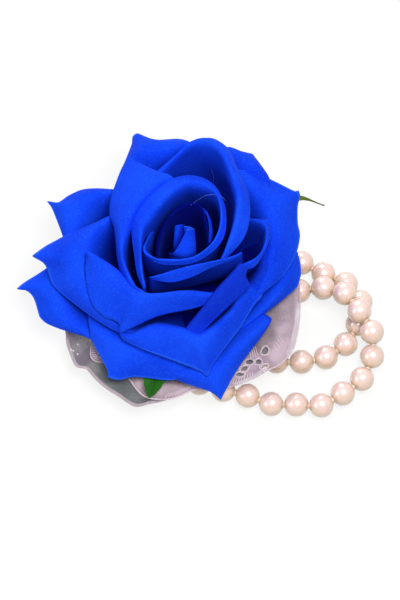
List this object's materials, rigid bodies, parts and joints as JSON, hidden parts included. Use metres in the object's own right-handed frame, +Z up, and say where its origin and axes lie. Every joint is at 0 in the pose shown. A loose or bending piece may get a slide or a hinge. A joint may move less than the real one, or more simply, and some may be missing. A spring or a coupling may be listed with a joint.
{
  "type": "wrist corsage",
  "caption": "Wrist corsage: fabric rose over a gathered lace and organza ruffle on a felt pad, with two elastic pearl strands that swing under it and stretch over a hand.",
  "frame": {"origin": "middle of the felt pad's underside, which lies on the wrist", "axes": "+Z up through the rose, +X towards the pearl strands, +Y towards the rose's back"},
  "size_m": [0.1201, 0.092, 0.0465],
  "materials": {
    "petal": "matt flocked polyester, royal blue",
    "pearl": "pearl lustre, peach",
    "elastic": "translucent elastic thread",
    "lace": "embroidered net lace, pale pink",
    "organza": "sheer organza, grey white",
    "leaf": "starched polyester leaf, green",
    "stem": "moulded green plastic",
    "felt": "white felt",
    "ribbon": "white satin ribbon"
  },
  "bodies": {
    "corsage": {"felt_pad": "felt", "ribbon_sleeve": "ribbon", "stem_peg": "stem", "organza_ruffle": "organza", "lace_ruffle": "lace", "leaf_front": "leaf", "leaf_back": "leaf", "calyx": "leaf", "outer_petal_layer": "petal", "middle_petal_layer": "petal", "inner_petal_layer": "petal", "bud_wrap_outer": "petal", "bud_wrap_inner": "petal", "bud_core": "petal"},
    "wristlet": {"elastic_a": "elastic", "elastic_b": "elastic", "pearl_a_01": "pearl", "pearl_a_02": "pearl", "pearl_a_03": "pearl", "pearl_a_04": "pearl", "pearl_a_19": "pearl", "pearl_b_01": "pearl", "pearl_b_02": "pearl", "pearl_b_15": "pearl", "pearl_b_16": "pearl", "pearl_b_17": "pearl"},
    "pearl_row_1": {"pearl_a_05": "pearl", "pearl_a_18": "pearl", "pearl_b_03": "pearl", "pearl_b_14": "pearl"},
    "pearl_row_2": {"pearl_a_06": "pearl", "pearl_a_17": "pearl", "pearl_b_04": "pearl", "pearl_b_13": "pearl"},
    "pearl_row_3": {"pearl_a_07": "pearl", "pearl_a_16": "pearl", "pearl_b_05": "pearl", "pearl_b_12": "pearl"},
    "far_pearls": {"pearl_a_08": "pearl", "pearl_a_09": "pearl", "pearl_a_10": "pearl", "pearl_a_11": "pearl", "pearl_a_12": "pearl", "pearl_a_13": "pearl", "pearl_a_14": "pearl", "pearl_a_15": "pearl", "pearl_b_06": "pearl", "pearl_b_07": "pearl", "pearl_b_08": "pearl", "pearl_b_09": "pearl", "pearl_b_10": "pearl", "pearl_b_11": "pearl"}
  },
  "joints": [
    {"name": "wristlet_swing", "type": "hinge", "parent": "corsage", "child": "wristlet", "pos_m": [0, 0, 0.0044], "axis": [0, 1, 0], "range_deg": [0, 90]},
    {"name": "wristlet_stretch", "type": "slide", "parent": "wristlet", "child": "far_pearls", "axis": [1, 0, 0], "range_m": [0, 0.018], "stiffness_N_per_m": 120, "deforming": ["elastic_a", "elastic_b"]},
    {"name": "row_1_follow", "type": "slide", "parent": "wristlet", "child": "pearl_row_1", "axis": [1, 0, 0], "range_m": [0, 0.0036]},
    {"name": "row_2_follow", "type": "slide", "parent": "wristlet", "child": "pearl_row_2", "axis": [1, 0, 0], "range_m": [0, 0.0081]},
    {"name": "row_3_follow", "type": "slide", "parent": "wristlet", "child": "pearl_row_3", "axis": [1, 0, 0], "range_m": [0, 0.01296]}
  ],
  "couplings": [
    {"joint": "row_1_follow", "follows": "wristlet_stretch", "ratio": 0.2},
    {"joint": "row_2_follow", "follows": "wristlet_stretch", "ratio": 0.45},
    {"joint": "row_3_follow", "follows": "wristlet_stretch", "ratio": 0.72}
  ]
}
